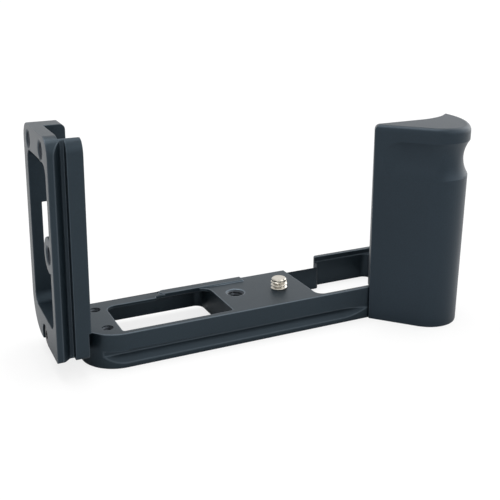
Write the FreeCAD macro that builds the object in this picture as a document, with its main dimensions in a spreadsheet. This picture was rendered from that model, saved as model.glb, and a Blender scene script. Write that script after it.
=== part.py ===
# Camera plate with a dovetail foot, an upright side plate and a hand grip.
# The origin is on the axis of the camera screw, in the plane of the foot.
# X runs along the plate from the side plate to the grip, Y from the front to the back, Z up.
# Every length is in millimetres.

import FreeCAD, Part

import math
import os
import re

import Sketcher

# Driving sizes: name, value and what it measures.
SIZES = [
    ("foot_width", 38.0, "dovetail foot, front face to rear face"),
    ("front_reach", 14.5, "camera screw axis to the front face"),
    ("left_reach", 79.0, "camera screw axis to the left end of the base"),
    ("right_reach", 66.0, "camera screw axis to the right end of the base"),
    ("base_height", 12.7, "foot to deck"),
    ("deck_depth", 30.0, "front face to the rear edge of the deck"),
    ("rear_height", 6.6, "height of the rear face under the sloping back"),
    ("corner_radius", 13.0, "left corners of the base and lower rear corner of the side plate"),
    ("right_corner_radius", 6.0, "rear right corner of the base"),
    ("flange_height", 1.8, "thin edge of the dovetail"),
    ("shoulder_height", 6.2, "underside of the body over the dovetail"),
    ("groove_depth", 2.6, "depth of the dovetail groove"),
    ("cutter_radius", 25.0, "milling cutter that leaves the groove's run-out"),
    ("groove_reach", 20.3, "camera screw axis to where the cutter stops in the front groove"),
    ("rear_groove_reach", 16.3, "camera screw axis to where it stops in the rear groove"),
    ("window_left_bar", 12.4, "left end to the window"),
    ("window_length", 41.5, "window along the plate"),
    ("window_depth", 23.9, "window across the deck"),
    ("front_bar", 2.4, "deck between the front face and the window"),
    ("window_narrow_depth", 22.4, "window across the deck at its left end"),
    ("window_narrow_length", 20.1, "that narrower end, along the plate"),
    ("window_step_radius", 0.6, "small step between the two widths"),
    ("window_front_radius", 1.0, "front corners of the window"),
    ("window_rear_radius", 3.8, "rear corners of the window"),
    ("milled_radius", 3.3, "inner corners of the relief and the battery bay"),
    ("pocket_height", 8.0, "shelf in front of the relief"),
    ("relief_roof", 11.5, "roof of the relief at the window"),
    ("relief_low_roof", 8.1, "roof of the relief at its rear wall"),
    ("recess_height", 2.3, "recess in the underside of the foot, open at the rear"),
    ("recess_margin", 3.1, "recess beyond the window, to the right"),
    ("pocket_front_bar", 5.5, "foot between the front face and the relief"),
    ("foot_rear_bar", 4.1, "foot between the relief and the rear face"),
    ("bay_left", 10.3, "camera screw axis to the battery bay"),
    ("bay_length", 45.7, "battery bay along the plate"),
    ("bay_front_bar", 1.9, "deck between the front face and the bay"),
    ("wall_left", 29.5, "camera screw axis to the left end of the rear wall"),
    ("wall_inset", 0.7, "rear face of the foot to the inner face of the rear wall"),
    ("wall_overhang", 1.8, "rear wall beyond the rear face of the foot"),
    ("wall_thickness", 2.0, "rear wall above its ledge"),
    ("ledge_height", 10.6, "ledge at the foot of the rear wall"),
    ("step_radius", 1.6, "rounded step in the bay's rear wall"),
    ("lip_left", 44.3, "camera screw axis to the left end of the register lip"),
    ("lip_length", 34.6, "register lip along the plate"),
    ("lip_depth", 3.7, "register lip across the plate"),
    ("lip_radius", 1.8, "round left end of the register lip"),
    ("lip_height", 0.6, "register lip above the deck"),
    ("tripod_offset", 17.5, "camera screw axis to the tapped tripod hole, along the plate"),
    ("tripod_back", 2.5, "camera screw axis to the tapped tripod hole, across the plate"),
    ("tapped_radius", 2.6, "1/4 inch 20 thread, hole at its minor diameter"),
    ("mouth_radius", 3.5, "countersunk mouth of a 1/4 inch hole"),
    ("pad_hole_inset", 8.3, "left end to the two small tapped holes"),
    ("pad_hole_centre", 0.9, "middle of the two small holes, across the plate"),
    ("pad_hole_spacing", 16.6, "between the two small holes"),
    ("pad_hole_radius", 1.65, "M4 thread, hole at its drill size"),
    ("ledge_thickness", 4.0, "deck over the camera screw's counterbore"),
    ("counterbore_radius", 6.8, "counterbore of the camera screw"),
    ("screw_radius", 3.175, "1/4 inch camera screw"),
    ("screw_projection", 4.0, "camera screw above the deck when it has dropped"),
    ("screw_tip_chamfer", 0.5, "chamfer on the camera screw's tip"),
    ("running_clearance", 0.05, "radial gap round the camera screw's neck"),
    ("head_clearance", 0.5, "radial gap round the camera screw's head"),
    ("head_floor", 0.4, "foot plane to the screw head when it has dropped"),
    ("head_height", 6.0, "camera screw's head"),
    ("washer_thickness", 0.6, "washer on the camera screw's head"),
    ("washer_inset", 0.1, "washer smaller than the head, radially"),
    ("key_radius", 2.5, "hexagon socket of the camera screw, to its corners"),
    ("key_depth", 3.0, "hexagon socket of the camera screw"),
    ("side_thickness", 11.0, "side plate where it meets the base"),
    ("side_overhang", 0.8, "side plate's step over the deck"),
    ("side_step_height", 14.9, "foot plane to that step"),
    ("side_bottom", 6.2, "foot plane to the bottom of the side plate"),
    ("side_top", 82.2, "foot plane to the top of the side plate"),
    ("side_flange", 2.2, "thin edge of the side plate's dovetail"),
    ("side_shoulder", 6.2, "outer face to the shoulder of the side plate's dovetail"),
    ("side_top_radius", 6.3, "top corners of the side plate"),
    ("side_inner_round", 2.0, "rounded top of the two ribs, towards the camera"),
    ("side_foot_radius", 1.0, "lower front corner of the side plate"),
    ("web_thickness", 4.4, "side plate between its two ribs"),
    ("front_rib", 3.4, "front rib of the side plate"),
    ("rear_rib", 14.0, "rear rib of the side plate"),
    ("side_front_bar", 3.5, "side plate in front of its window"),
    ("side_rear_bar", 5.3, "side plate behind its window"),
    ("side_window_bottom", 16.2, "foot plane to the side window's lower edge"),
    ("side_window_top", 73.1, "foot plane to the side window's upper edge"),
    ("side_window_radius", 4.0, "corners of the side window"),
    ("boss_height", 42.4, "foot plane to the middle hole of the side plate"),
    ("boss_inset", 5.9, "front edge to the middle hole of the side plate"),
    ("boss_radius", 6.2, "boss round the middle hole"),
    ("boss_thickness", 6.0, "boss round the middle hole, from the outer face"),
    ("notch_web", 4.2, "side plate left behind the cable notch"),
    ("notch_bottom", 37.0, "foot plane to the cable notch's lower edge"),
    ("notch_top", 53.0, "foot plane to the cable notch's upper edge"),
    ("top_hole_drop", 5.3, "top edge to the two upper holes of the side plate"),
    ("top_hole_front", 10.1, "front edge to the front upper hole"),
    ("top_hole_rear", 8.2, "rear edge to the rear upper hole"),
    ("side_screw_height", 8.6, "foot plane to the side plate's screw"),
    ("side_screw_radius", 2.0, "M4 screw of the side plate"),
    ("side_head_radius", 3.5, "head of that screw"),
    ("side_head_height", 4.0, "head of that screw"),
    ("side_counterbore_gap", 0.5, "radial gap round that head"),
    ("side_head_sink", 0.6, "outer face to the top of that head"),
    ("side_screw_grip", 8.5, "length of that screw inside the base"),
    ("drill_margin", 0.5, "blind hole deeper than the screw in it"),
    ("socket_radius", 1.7, "hexagon socket of an M4 screw, to its corners"),
    ("socket_depth", 2.0, "hexagon socket of an M4 screw"),
    ("pin_radius", 1.25, "dowel pins of the side plate"),
    ("pin_height", 10.2, "foot plane to the dowel pins"),
    ("pin_spread", 16.0, "between the dowel pins"),
    ("pin_depth", 5.0, "dowel pin in each of its two plates"),
    ("grip_left", 31.5, "camera screw axis to the grip's left edge"),
    ("grip_proud", 0.8, "grip's left edge in front of the base"),
    ("grip_bevel_foot", 1.5, "slope of the grip's left end along the plate, at the foot plane"),
    ("grip_bevel_top", 2.4, "slope of the grip's left end along the plate, at the top"),
    ("grip_angle", 47.9, "slope of the grip's front face, in degrees"),
    ("grip_nose_foot", 33.3, "camera screw axis to the grip's nose, forwards, at the foot plane"),
    ("grip_nose_top", 34.8, "camera screw axis to the grip's nose, forwards, at the top"),
    ("grip_nose_radius", 12.0, "nose of the grip"),
    ("grip_side_foot", 28.6, "right side of the grip, at the foot plane"),
    ("grip_side_top", 33.3, "right side of the grip, at the top"),
    ("grip_corner_reach", 3.4, "camera screw axis to the right corner, forwards"),
    ("grip_back_reach", 11.6, "camera screw axis to the grip's flat back, forwards"),
    ("grip_back_radius", 25.5, "hollow of the grip's back"),
    ("grip_height", 76.8, "foot plane to the top of the grip"),
    ("grip_top_round", 2.3, "rounded top edge of the grip"),
    ("scallop_height", 64.2, "foot plane to the middle of the finger scallop"),
    ("scallop_radius", 12.9, "profile of the finger scallop"),
    ("scallop_depth", 2.0, "depth of the finger scallop"),
    ("scallop_start", 10.2, "left edge to the centre of the scallop's round end, along the face"),
    ("tab_left", 43.0, "camera screw axis to the tab under the grip"),
    ("tab_length", 19.0, "tab under the grip, along the plate"),
    ("tab_reach", 10.0, "tab in front of the base"),
    ("tab_height", 4.5, "tab under the grip"),
    ("tab_radius", 2.0, "corners of the tab"),
    ("tab_gap", 0.2, "gap round the tab in its pocket"),
    ("grip_screw_spacing", 11.0, "between the two grip screws"),
    ("grip_screw_forward", 5.0, "front face to the grip screws"),
    ("grip_screw_radius", 2.0, "M4 grip screws"),
    ("grip_screw_length", 14.0, "M4 grip screws, head included"),
    ("cone_radius", 3.9, "countersunk head of a grip screw"),
    ("cone_height", 1.9, "countersunk head of a grip screw"),
]

doc = FreeCAD.newDocument("camera_plate")
sheet = doc.addObject("Spreadsheet::Sheet", "Sizes")
for row, (alias, number, meaning) in enumerate(SIZES, 1):
    sheet.set(f"A{row}", alias)
    sheet.set(f"B{row}", str(number))
    sheet.set(f"C{row}", meaning)
    sheet.setAlias(f"B{row}", alias)
doc.recompute()

NAMES = {alias for alias, _, _ in SIZES}


def bound(formula):
    """The formula with every size named as its cell of the sheet."""
    return re.sub(r"[a-z_]+", lambda word: f"Sizes.{word[0]}" if word[0] in NAMES else word[0], formula)


def size(formula):
    """The value that a formula of sizes has now."""
    return float(sheet.evalExpression(bound(formula)))


def bind(thing, **formulas):
    """Tie properties of an object to formulas of sizes."""
    for name, formula in formulas.items():
        thing.setExpression(name.replace("__", "."), bound(formula))


# Places that several pieces share.
FRONT = "-front_reach"
REAR = "foot_width - front_reach"
MIDDLE = "foot_width / 2 - front_reach"
LEFT = "-left_reach"
OUTER = "-left_reach - side_thickness"
WALL_INNER = "foot_width - front_reach - wall_inset"
WALL_OUTER = "foot_width - front_reach + wall_overhang"
DECK_REAR = "deck_depth - front_reach"
LEDGE_BOTTOM = "base_height - ledge_thickness"


def new_body(label):
    body = doc.addObject("PartDesign::Body", label)
    body.Label = label
    return body


def new_sketch(body, name, role, lift=None):
    """A sketch on one of the body's own origin planes, lifted along the plane's normal."""
    sketch = body.newObject("Sketcher::SketchObject", name)
    plane = next(feature for feature in body.Origin.OriginFeatures if feature.Role == role)
    sketch.AttachmentSupport = [(plane, "")]
    sketch.MapMode = "FlatFace"
    if lift:
        bind(sketch, AttachmentOffset__Base__z=lift)
    return sketch


def fix(sketch, kind, geometry, end, formula):
    """Fix one coordinate of a point of the sketch by a formula."""
    number = sketch.addConstraint(Sketcher.Constraint(kind, -1, 1, geometry, end, size(formula)))
    sketch.setExpression(f"Constraints[{number}]", bound(formula))


def polygon(body, name, role, corners, lift=None):
    """A closed sketch of straight lines through corners given as pairs of formulas."""
    sketch = new_sketch(body, name, role, lift)
    points = [FreeCAD.Vector(size(x), size(y), 0) for x, y in corners]
    count = len(corners)
    for index in range(count):
        sketch.addGeometry(Part.LineSegment(points[index], points[(index + 1) % count]), False)
    for index, (x, y) in enumerate(corners):
        sketch.addConstraint(Sketcher.Constraint("Coincident", index, 2, (index + 1) % count, 1))
        fix(sketch, "DistanceX", index, 1, x)
        fix(sketch, "DistanceY", index, 1, y)
    return sketch


def rectangle(body, name, role, low, high, lift=None):
    corners = [(low[0], low[1]), (high[0], low[1]), (high[0], high[1]), (low[0], high[1])]
    return polygon(body, name, role, corners, lift)


def circle(body, name, role, centre, radius, lift=None):
    sketch = new_sketch(body, name, role, lift)
    middle = FreeCAD.Vector(size(centre[0]), size(centre[1]), 0)
    sketch.addGeometry(Part.Circle(middle, FreeCAD.Vector(0, 0, 1), size(radius)), False)
    set_radius(sketch, 0, radius)
    fix(sketch, "DistanceX", 0, 3, centre[0])
    fix(sketch, "DistanceY", 0, 3, centre[1])
    return sketch


def pad(body, sketch, length):
    feature = body.newObject("PartDesign::Pad", sketch.Name + "_pad")
    feature.Profile = sketch
    bind(feature, Length=length)
    doc.recompute()
    return feature


def must_cut(body, before, name):
    """A cut that points away from the solid takes nothing off and says nothing, so it is tested."""
    if body.Shape.Volume > before - 1e-3:
        raise ValueError(f"{name} cuts nothing")


def pocket(body, sketch, length):
    """Cut along the sketch's normal: up from XY, to the right from YZ, forwards from XZ."""
    before = body.Shape.Volume
    feature = body.newObject("PartDesign::Pocket", sketch.Name + "_cut")
    feature.Profile = sketch
    feature.Reversed = True
    bind(feature, Length=length)
    doc.recompute()
    must_cut(body, before, sketch.Name)
    return feature


def turn(body, sketch, axis, cut=False):
    """Revolve a sketch all the way round one of its own lines."""
    kind = "Groove" if cut else "Revolution"
    before = body.Shape.Volume if cut else 0
    feature = body.newObject(f"PartDesign::{kind}", sketch.Name + "_turned")
    feature.Profile = sketch
    feature.ReferenceAxis = (sketch, [axis])
    feature.Angle = 360
    doc.recompute()
    if cut:
        must_cut(body, before, sketch.Name)
    return feature


def soften(body, kind, test, amount, name):
    """Fillet or chamfer every edge of the body that passes the test."""
    last = body.Tip
    edges = [f"Edge{number}" for number, edge in enumerate(last.Shape.Edges, 1) if test(edge)]
    if not edges:
        raise ValueError(f"{name} finds no edge")
    feature = body.newObject(f"PartDesign::{kind}", name)
    feature.Base = (last, edges)
    bind(feature, **{"Radius" if kind == "Fillet" else "Size": amount})
    doc.recompute()
    return feature


def near(first, second):
    return abs(first - second) < 1e-4


def lies_along(edge, places, direction):
    """Whether a straight edge lies along X, Y or Z (0, 1 or 2) through one of the places given
    by their other two coordinates."""
    if not isinstance(edge.Curve, Part.Line):
        return False
    line = tuple(edge.Curve.Direction)
    if not near(abs(line[direction]), 1):
        return False
    middle = tuple(edge.CenterOfMass)
    first, second = [middle[axis] for axis in range(3) if axis != direction]
    return any(near(first, x) and near(second, y) for x, y in places)


def round_edges(body, name, places, radius, direction=2):
    """Fillet the straight edges through places given as pairs of formulas."""
    spots = [(size(x), size(y)) for x, y in places]
    return soften(body, "Fillet", lambda edge: lies_along(edge, spots, direction), radius, name)


def set_radius(sketch, geometry, formula):
    number = sketch.addConstraint(Sketcher.Constraint("Radius", geometry, size(formula)))
    sketch.setExpression(f"Constraints[{number}]", bound(formula))


def drill(body, name, role, centre, radius, length, lift):
    """A round hole cut along the plane's normal."""
    pocket(body, circle(body, name, role, centre, radius, lift), length)


def countersink(body, name, role, centre, face, inward):
    """The 45 degree mouth of a 1/4 inch hole, in a face at the given height over the plane."""
    depth = "(mouth_radius - tapped_radius)"
    upper, lower = (f"{face} - {depth}", face) if inward < 0 else (face, f"{face} + {depth}")
    before = body.Shape.Volume
    mouths = [circle(body, f"{name}_{end}", role, centre, radius, lift)
              for end, radius, lift in (("wide", "mouth_radius", face),
                                        ("narrow", "tapped_radius", lower if inward > 0 else upper))]
    feature = body.newObject("PartDesign::SubtractiveLoft", name)
    feature.Profile = mouths[0]
    feature.Sections = [mouths[1]]
    doc.recompute()
    must_cut(body, before, name)


def trace(sketch, stations, closed=True):
    """Lines and arcs from station to station: where it starts, the centre of the arc that leaves it
    (None for a line) and the arc's sense (1 counterclockwise, -1 clockwise)."""
    count = len(stations)
    points = [FreeCAD.Vector(size(x), size(y), 0) for (x, y), _, _ in stations]
    ends = []
    for index in range(count if closed else count - 1):
        start, stop = points[index], points[(index + 1) % count]
        centre, sense = stations[index][1:]
        if centre is None:
            sketch.addGeometry(Part.LineSegment(start, stop), False)
            ends.append((1, 2))
            continue
        middle = FreeCAD.Vector(size(centre[0]), size(centre[1]), 0)
        first, last = (start, stop) if sense > 0 else (stop, start)
        angles = [math.atan2(point.y - middle.y, point.x - middle.x) for point in (first, last)]
        ring = Part.Circle(middle, FreeCAD.Vector(0, 0, 1), (start - middle).Length)
        sketch.addGeometry(Part.ArcOfCircle(ring, *angles), False)
        ends.append((1, 2) if sense > 0 else (2, 1))
    for index, (begin, end) in enumerate(ends):
        (x, y), centre, _ = stations[index]
        fix(sketch, "DistanceX", index, begin, x)
        fix(sketch, "DistanceY", index, begin, y)
        if centre is not None:
            fix(sketch, "DistanceX", index, 3, centre[0])
        following = (index + 1) % count
        if following < len(ends):
            sketch.addConstraint(Sketcher.Constraint("Coincident", index, end, following, ends[following][0]))
        else:
            (x, y), _, _ = stations[following]
            if centre is None:
                fix(sketch, "DistanceX", index, end, x)
            fix(sketch, "DistanceY", index, end, y)


def rounded(body, name, role, corners, lift=None):
    """A closed sketch with sides along its axes and a radius at each corner (None leaves it sharp)."""
    places = [(size(x), size(y)) for x, y, _ in corners]
    count = len(corners)
    stations = []
    for index, (x, y, radius) in enumerate(corners):
        if radius is None:
            stations.append(((x, y), None, None))
            continue
        ways = []
        for other in (index - 1, (index + 1) % count):
            reach = [places[other][axis] - places[index][axis] for axis in (0, 1)]
            ways.append([0 if near(value, 0) else int(math.copysign(1, value)) for value in reach])
        (back_x, back_y), (on_x, on_y) = ways
        arrive = (f"{x} + {back_x} * {radius}", f"{y} + {back_y} * {radius}")
        leave = (f"{x} + {on_x} * {radius}", f"{y} + {on_y} * {radius}")
        centre = (f"{x} + {back_x + on_x} * {radius}", f"{y} + {back_y + on_y} * {radius}")
        stations += [(arrive, centre, on_x * back_y - on_y * back_x), (leave, None, None)]
    sketch = new_sketch(body, name, role, lift)
    trace(sketch, stations)
    return sketch


def rounded_rectangle(body, name, role, low, high, radius, lift=None):
    corners = [(low[0], low[1], radius), (high[0], low[1], radius),
               (high[0], high[1], radius), (low[0], high[1], radius)]
    return rounded(body, name, role, corners, lift)


def segment(body, name, role, centre, radius, face, lift):
    """A disc cut off by a straight face on its low side."""
    drop = f"sqrt(({radius}) ^ 2 - ({centre[0]} - ({face})) ^ 2)"
    low, high = (face, f"{centre[1]} - {drop}"), (face, f"{centre[1]} + {drop}")
    sketch = new_sketch(body, name, role, lift)
    trace(sketch, [(low, centre, 1), (high, None, None)])
    return sketch


def turned_part(body, corners, foot=("0", "0")):
    """A turned piece on an upright axis, from its half section given as (radius, height)."""
    section = [(f"{foot[0]} + {radius}", height) for radius, height in corners]
    section = [(foot[0], corners[0][1])] + section + [(foot[0], corners[-1][1])]
    sketch = polygon(body, f"{body.Label}_section", "XZ_Plane", section, f"-({foot[1]})")
    turn(body, sketch, f"Edge{len(section)}")


def socket(body, radius, depth, role, centre, lift):
    """A hexagon socket cut along the plane's normal."""
    corners = [(f"{centre[0]} + {radius} * cos({angle})", f"{centre[1]} + {radius} * sin({angle})")
               for angle in range(0, 360, 60)]
    pocket(body, polygon(body, f"{body.Label}_socket", role, corners, lift), depth)


# Base plate: outline with round left corners and a step out for the rear wall.
base = new_body("base_plate")
outline = [
    (LEFT, FRONT), ("right_reach", FRONT), ("right_reach", WALL_OUTER),
    ("wall_left", WALL_OUTER), ("wall_left", REAR), (LEFT, REAR),
]
pad(base, polygon(base, "base_outline", "XY_Plane", outline), "base_height")
round_edges(base, "left_corners", [(LEFT, FRONT), (LEFT, REAR)], "corner_radius")
round_edges(base, "right_corner", [("right_reach", WALL_OUTER)], "right_corner_radius")
round_edges(base, "wall_end", [("wall_left", WALL_OUTER)], "step_radius")

# The back slopes down from the deck's rear edge, left of the rear wall.
BEHIND = "foot_width - front_reach + wall_overhang + 1"
slope = polygon(base, "back_slope", "YZ_Plane", [
    (DECK_REAR, "base_height"), (REAR, "rear_height"), (BEHIND, "rear_height"),
    (BEHIND, "base_height + 1"), (DECK_REAR, "base_height + 1"),
], LEFT)
pocket(base, slope, "left_reach + wall_left")

# Along the rear wall the deck drops to a ledge.
ledge = rectangle(base, "ledge", "XY_Plane", ("wall_left", DECK_REAR),
                  ("right_reach", "foot_width - front_reach + wall_overhang - wall_thickness"), "ledge_height")
pocket(base, ledge, "base_height")

# Window: through the deck, over a wider relief in the foot.
WINDOW_LEFT = "-left_reach + window_left_bar"
WINDOW_RIGHT = "-left_reach + window_left_bar + window_length"
WINDOW_FRONT = "-front_reach + front_bar"
WINDOW_REAR = "-front_reach + front_bar + window_depth"
RELIEF_FRONT = "-front_reach + pocket_front_bar"
RELIEF_REAR = "foot_width - front_reach - foot_rear_bar"
WINDOW_STEP = f"{WINDOW_LEFT} + window_narrow_length"
NARROW_REAR = f"{WINDOW_FRONT} + window_narrow_depth"
window = rounded(base, "window", "XY_Plane", [
    (WINDOW_LEFT, WINDOW_FRONT, "window_front_radius"), (WINDOW_RIGHT, WINDOW_FRONT, "window_front_radius"),
    (WINDOW_RIGHT, WINDOW_REAR, "window_rear_radius"), (WINDOW_STEP, WINDOW_REAR, "window_step_radius"),
    (WINDOW_STEP, NARROW_REAR, "window_step_radius"), (WINDOW_LEFT, NARROW_REAR, "window_rear_radius"),
], "pocket_height")
pocket(base, window, "base_height")
relief = rounded_rectangle(base, "relief", "XY_Plane", (WINDOW_LEFT, RELIEF_FRONT), (WINDOW_RIGHT, RELIEF_REAR),
                           "milled_radius")
pocket(base, relief, "relief_roof")

# The deck behind the window and the sloping back close the relief as one thin roof.
SLOPE_LOW = (f"base_height - ({RELIEF_REAR} - ({DECK_REAR})) * (base_height - rear_height)"
             " / (foot_width - deck_depth)")
roof = polygon(base, "relief_back", "YZ_Plane", [
    (WINDOW_REAR, "relief_roof"), (RELIEF_REAR, "relief_low_roof"), (RELIEF_REAR, SLOPE_LOW),
    (DECK_REAR, "base_height"), (WINDOW_REAR, "base_height"),
], WINDOW_LEFT)
pad(base, roof, "window_length")

# Under the relief the foot is cut back, out through its rear face.
recess = rounded(base, "recess", "XY_Plane", [
    (WINDOW_LEFT, RELIEF_FRONT, "milled_radius"),
    (f"{WINDOW_RIGHT} + recess_margin", RELIEF_FRONT, "milled_radius"),
    (f"{WINDOW_RIGHT} + recess_margin", f"{REAR} + 1", None), (WINDOW_LEFT, f"{REAR} + 1", None),
])
pocket(base, recess, "recess_height")

# Battery bay: one opening with a step beside the rear wall, and a wider front edge in the deck.
BAY_RIGHT = "bay_left + bay_length"
bay = rounded(base, "bay", "XY_Plane", [
    ("bay_left", RELIEF_FRONT, "milled_radius"), (BAY_RIGHT, RELIEF_FRONT, "milled_radius"),
    (BAY_RIGHT, WALL_INNER, "milled_radius"), ("wall_left", WALL_INNER, "step_radius"),
    ("wall_left", RELIEF_REAR, "step_radius"), ("bay_left", RELIEF_REAR, "milled_radius"),
])
pocket(base, bay, "base_height")
bay_deck = rounded_rectangle(base, "bay_deck", "XY_Plane", ("bay_left", "-front_reach + bay_front_bar"),
                             (BAY_RIGHT, MIDDLE), "milled_radius", "pocket_height")
pocket(base, bay_deck, "base_height")

# Register lip along the rear edge of the deck.
LIP_FRONT = f"{DECK_REAR} - lip_depth"
LIP_RIGHT = "-lip_left + lip_length"
lip = rounded(base, "lip", "XY_Plane", [
    ("-lip_left", LIP_FRONT, "lip_radius"), (LIP_RIGHT, LIP_FRONT, None),
    (LIP_RIGHT, DECK_REAR, None), ("-lip_left", DECK_REAR, "lip_radius"),
], "base_height")
pad(base, lip, "lip_height")

# Dovetail grooves, front and rear, each a straight cut and a round end left by the cutter.
for name, face, inward, reach in (("front", FRONT, 1, "groove_reach"), ("rear", REAR, -1, "rear_groove_reach")):
    mouth = f"{face} - {inward} * 1"
    root = f"{face} + {inward} * groove_depth"
    section = [
        (mouth, "flange_height - 1"), (root, "flange_height + groove_depth"),
        (root, "shoulder_height"), (mouth, "shoulder_height"),
    ]
    groove = polygon(base, f"{name}_groove", "YZ_Plane", section, "-left_reach - 1")
    pocket(base, groove, f"left_reach + 1 + {reach}")
    axis = f"{face} + {inward} * (groove_depth - cutter_radius)"
    tool = [(axis, "flange_height - 1")] + section + [(axis, "shoulder_height")]
    run_out = polygon(base, f"{name}_run_out", "YZ_Plane", tool, reach)
    turn(base, run_out, "Edge6", cut=True)

# Holes: tripod thread, camera screw and the two small tapped holes.
drill(base, "tripod_hole", "XY_Plane", ("-tripod_offset", "tripod_back"), "tapped_radius", "base_height + 2", "-1")
countersink(base, "tripod_mouth", "XY_Plane", ("-tripod_offset", "tripod_back"), "base_height", -1)
drill(base, "screw_hole", "XY_Plane", ("0", "0"), "tapped_radius", "base_height + 2", "-1")
drill(base, "screw_counterbore", "XY_Plane", ("0", "0"), "counterbore_radius", LEDGE_BOTTOM, "0")
for name, side in (("front", -1), ("rear", 1)):
    place = (f"{LEFT} + pad_hole_inset", f"pad_hole_centre + {side} * pad_hole_spacing / 2")
    drill(base, f"pad_hole_{name}", "XY_Plane", place, "pad_hole_radius", "base_height + 2", "-1")

# Holes in the left end for the side plate's screw and dowel pins.
drill(base, "end_hole", "YZ_Plane", (MIDDLE, "side_screw_height"), "side_screw_radius",
      "side_screw_grip + drill_margin", LEFT)
PIN_PLACES = {
    name: (f"{MIDDLE} + {side} * pin_spread / 2", "pin_height") for name, side in (("front", -1), ("rear", 1))
}
for name, place in PIN_PLACES.items():
    drill(base, f"end_pin_{name}", "YZ_Plane", place, "pin_radius", "pin_depth", LEFT)

# Tab that reaches forwards under the grip, with two countersunk screw holes.
TAB_RIGHT = "tab_left + tab_length"
TAB_FRONT = "-front_reach - tab_reach"
tab = rectangle(base, "tab", "XY_Plane", ("tab_left", TAB_FRONT), (TAB_RIGHT, "-front_reach + 1"))
pad(base, tab, "tab_height")
round_edges(base, "tab_corners", [("tab_left", TAB_FRONT), (TAB_RIGHT, TAB_FRONT)], "tab_radius")
SCREW_Y = "-front_reach - grip_screw_forward"
SCREW_X = {
    name: f"tab_left + tab_length / 2 + {side} * grip_screw_spacing / 2" for name, side in (("left", -1), ("right", 1))
}
for name, place in SCREW_X.items():
    drill(base, f"tab_hole_{name}", "XY_Plane", (place, SCREW_Y), "grip_screw_radius", "tab_height + 2", "-1")
    sink = polygon(base, f"tab_sink_{name}", "XZ_Plane", [
        (place, "0"), (f"{place} + cone_radius", "0"),
        (f"{place} + grip_screw_radius", "cone_height"), (place, "cone_height"),
    ], f"-({SCREW_Y})")
    turn(base, sink, "Edge4", cut=True)

# Side plate: the whole outline first, then the step that clears the deck's end.
side = new_body("side_plate")
panel = rectangle(side, "side_outline", "YZ_Plane", (FRONT, "side_bottom"), (REAR, "side_top"), OUTER)
pad(side, panel, "side_thickness + side_overhang")
round_edges(side, "side_top_corners", [(FRONT, "side_top"), (REAR, "side_top")], "side_top_radius", 0)
round_edges(side, "side_front_foot", [(FRONT, "side_bottom")], "side_foot_radius", 0)
round_edges(side, "side_rear_foot", [(REAR, "side_bottom")], "corner_radius", 0)
step = rectangle(side, "side_step", "XY_Plane", (LEFT, "-front_reach - 1"),
                 ("-left_reach + side_overhang + 1", f"{REAR} + 1"))
pocket(side, step, "side_step_height")

# The ribs' inner top edge is round.
ROUND_X = "-left_reach + side_overhang - side_inner_round"
ROUND_Z = "side_top - side_inner_round"
crown = new_sketch(side, "side_inner_edge", "XZ_Plane", f"-({REAR} + 1)")
trace(crown, [
    ((ROUND_X, "side_top"), (ROUND_X, ROUND_Z), -1),
    (("-left_reach + side_overhang", ROUND_Z), None, None),
    (("-left_reach + side_overhang + 1", ROUND_Z), None, None),
    (("-left_reach + side_overhang + 1", "side_top + 1"), None, None),
    ((ROUND_X, "side_top + 1"), None, None),
])
pocket(side, crown, "foot_width + 2")

# Window, then the boss that stands into it with the middle hole.
BOSS_Y = "-front_reach + boss_inset"
frame_low = ("-front_reach + side_front_bar", "side_window_bottom")
frame_high = ("foot_width - front_reach - side_rear_bar", "side_window_top")
opening = rectangle(side, "side_window", "YZ_Plane", frame_low, frame_high, OUTER)
pocket(side, opening, "side_thickness + side_overhang")
frame_corners = [(y, z) for y in (frame_low[0], frame_high[0]) for z in (frame_low[1], frame_high[1])]
round_edges(side, "side_window_corners", frame_corners, "side_window_radius", 0)
boss = segment(side, "boss", "YZ_Plane", (BOSS_Y, "boss_height"), "boss_radius", FRONT, OUTER)
pad(side, boss, "boss_thickness")

# Channel between the two ribs, and the cable notch through the rear strip.
channel = rectangle(side, "channel", "YZ_Plane", ("-front_reach + front_rib", "boss_height"),
                    ("foot_width - front_reach - rear_rib", "side_top + 1"), f"{OUTER} + web_thickness")
pocket(side, channel, "side_thickness")
notch = rectangle(side, "notch", "YZ_Plane", (MIDDLE, "notch_bottom"), (f"{REAR} + 1", "notch_top"),
                  f"{OUTER} + notch_web")
pocket(side, notch, "side_thickness")

# Dovetail grooves along the two upright edges.
for name, face, inward in (("front", FRONT, 1), ("rear", REAR, -1)):
    mouth = f"{face} - {inward} * 1"
    root = f"{face} + {inward} * groove_depth"
    groove = polygon(side, f"side_{name}_groove", "XY_Plane", [
        (f"{OUTER} + side_flange - 1", mouth), (f"{OUTER} + side_flange + groove_depth", root),
        (f"{OUTER} + side_shoulder", root), (f"{OUTER} + side_shoulder", mouth),
    ])
    pocket(side, groove, "side_top + 1")

# Three 1/4 inch tapped holes, and the holes for the screw and dowel pins at the foot.
UPPER_Z = "side_top - top_hole_drop"
SIDE_HOLES = {
    "middle": (BOSS_Y, "boss_height"),
    "upper_front": ("-front_reach + top_hole_front", UPPER_Z),
    "upper_rear": ("foot_width - front_reach - top_hole_rear", UPPER_Z),
}
for name, place in SIDE_HOLES.items():
    reach = "boss_thickness + 1" if name == "middle" else "side_thickness + 4"
    drill(side, f"{name}_hole", "YZ_Plane", place, "tapped_radius", reach, f"{OUTER} - 1")
    countersink(side, f"{name}_mouth", "YZ_Plane", place, OUTER, 1)
drill(side, "foot_hole", "YZ_Plane", (MIDDLE, "side_screw_height"), "side_screw_radius",
      "side_thickness + 1", OUTER)
drill(side, "foot_counterbore", "YZ_Plane", (MIDDLE, "side_screw_height"),
      "side_head_radius + side_counterbore_gap", "side_head_sink + side_head_height", OUTER)
for name, place in PIN_PLACES.items():
    drill(side, f"foot_pin_{name}", "YZ_Plane", place, "pin_radius", "pin_depth", f"{LEFT} - pin_depth")

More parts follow.
